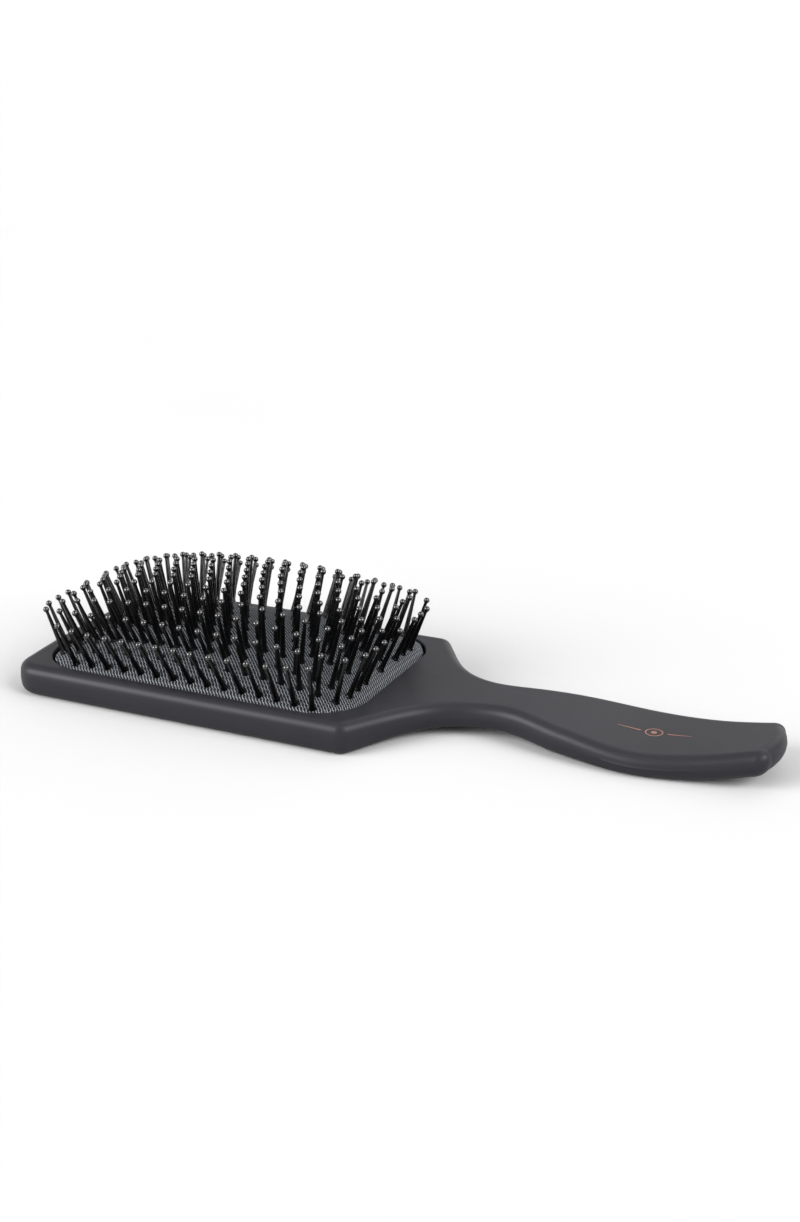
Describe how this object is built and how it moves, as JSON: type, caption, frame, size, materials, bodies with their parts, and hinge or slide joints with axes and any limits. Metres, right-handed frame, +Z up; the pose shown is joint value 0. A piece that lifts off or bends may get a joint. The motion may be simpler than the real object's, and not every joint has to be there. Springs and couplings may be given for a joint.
{
  "type": "paddle brush",
  "caption": "Flat rectangular paddle hairbrush with an S-curved handle and ball-tipped pins on a domed air cushion that gives and rocks under load.",
  "frame": {"origin": "under the middle of the brush's length, on the plane it lies on", "axes": "+X along the brush from the head to the handle's end, +Z up through the pins"},
  "size_m": [0.249, 0.0878, 0.0381],
  "materials": {
    "soft_touch_black": "soft-touch matt charcoal",
    "frame_plastic": "plain moulded black",
    "woven_rubber": "rubber faced with a fine dark grey weave",
    "pin_nylon": "glossy black"
  },
  "bodies": {
    "handle": {"handle_body": "soft_touch_black", "cushion_frame": "frame_plastic"},
    "cushion": {"air_cushion": "woven_rubber"},
    "row_01": {"pin_row_01": "pin_nylon"},
    "row_02": {"pin_row_02": "pin_nylon"},
    "row_03": {"pin_row_03": "pin_nylon"},
    "row_04": {"pin_row_04": "pin_nylon"},
    "row_05": {"pin_row_05": "pin_nylon"},
    "row_06": {"pin_row_06": "pin_nylon"},
    "row_07": {"pin_row_07": "pin_nylon"},
    "row_08": {"pin_row_08": "pin_nylon"},
    "row_09": {"pin_row_09": "pin_nylon"},
    "row_10": {"pin_row_10": "pin_nylon"},
    "row_11": {"pin_row_11": "pin_nylon"},
    "row_12": {"pin_row_12": "pin_nylon"},
    "row_13": {"pin_row_13": "pin_nylon"}
  },
  "joints": [
    {"name": "cushion_press", "type": "slide", "parent": "handle", "child": "cushion", "axis": [0, 0, -1], "range_m": [0, 0.003], "stiffness_N_per_m": 1500, "deforming": ["air_cushion"]},
    {"name": "row_01_rock", "type": "hinge", "parent": "cushion", "child": "row_01", "pos_m": [-0.0592, -0.03402, 0.00976], "axis": [1, 0, 0], "range_deg": [-8, 8], "stiffness_Nm_per_rad": 0.5},
    {"name": "row_02_rock", "type": "hinge", "parent": "cushion", "child": "row_02", "pos_m": [-0.0592, -0.02835, 0.01262], "axis": [1, 0, 0], "range_deg": [-8, 8], "stiffness_Nm_per_rad": 0.5},
    {"name": "row_03_rock", "type": "hinge", "parent": "cushion", "child": "row_03", "pos_m": [-0.0592, -0.02268, 0.01429], "axis": [1, 0, 0], "range_deg": [-8, 8], "stiffness_Nm_per_rad": 0.5},
    {"name": "row_04_rock", "type": "hinge", "parent": "cushion", "child": "row_04", "pos_m": [-0.0592, -0.01701, 0.01527], "axis": [1, 0, 0], "range_deg": [-8, 8], "stiffness_Nm_per_rad": 0.5},
    {"name": "row_05_rock", "type": "hinge", "parent": "cushion", "child": "row_05", "pos_m": [-0.0592, -0.01134, 0.01575], "axis": [1, 0, 0], "range_deg": [-8, 8], "stiffness_Nm_per_rad": 0.5},
    {"name": "row_06_rock", "type": "hinge", "parent": "cushion", "child": "row_06", "pos_m": [-0.0592, -0.00567, 0.01631], "axis": [1, 0, 0], "range_deg": [-8, 8], "stiffness_Nm_per_rad": 0.5},
    {"name": "row_07_rock", "type": "hinge", "parent": "cushion", "child": "row_07", "pos_m": [-0.0592, 0, 0.0159], "axis": [1, 0, 0], "range_deg": [-8, 8], "stiffness_Nm_per_rad": 0.5},
    {"name": "row_08_rock", "type": "hinge", "parent": "cushion", "child": "row_08", "pos_m": [-0.0592, 0.00567, 0.01631], "axis": [1, 0, 0], "range_deg": [-8, 8], "stiffness_Nm_per_rad": 0.5},
    {"name": "row_09_rock", "type": "hinge", "parent": "cushion", "child": "row_09", "pos_m": [-0.0592, 0.01134, 0.01575], "axis": [1, 0, 0], "range_deg": [-8, 8], "stiffness_Nm_per_rad": 0.5},
    {"name": "row_10_rock", "type": "hinge", "parent": "cushion", "child": "row_10", "pos_m": [-0.0592, 0.01701, 0.01527], "axis": [1, 0, 0], "range_deg": [-8, 8], "stiffness_Nm_per_rad": 0.5},
    {"name": "row_11_rock", "type": "hinge", "parent": "cushion", "child": "row_11", "pos_m": [-0.0592, 0.02268, 0.01429], "axis": [1, 0, 0], "range_deg": [-8, 8], "stiffness_Nm_per_rad": 0.5},
    {"name": "row_12_rock", "type": "hinge", "parent": "cushion", "child": "row_12", "pos_m": [-0.0592, 0.02835, 0.01262], "axis": [1, 0, 0], "range_deg": [-8, 8], "stiffness_Nm_per_rad": 0.5},
    {"name": "row_13_rock", "type": "hinge", "parent": "cushion", "child": "row_13", "pos_m": [-0.0592, 0.03402, 0.00976], "axis": [1, 0, 0], "range_deg": [-8, 8], "stiffness_Nm_per_rad": 0.5}
  ]
}
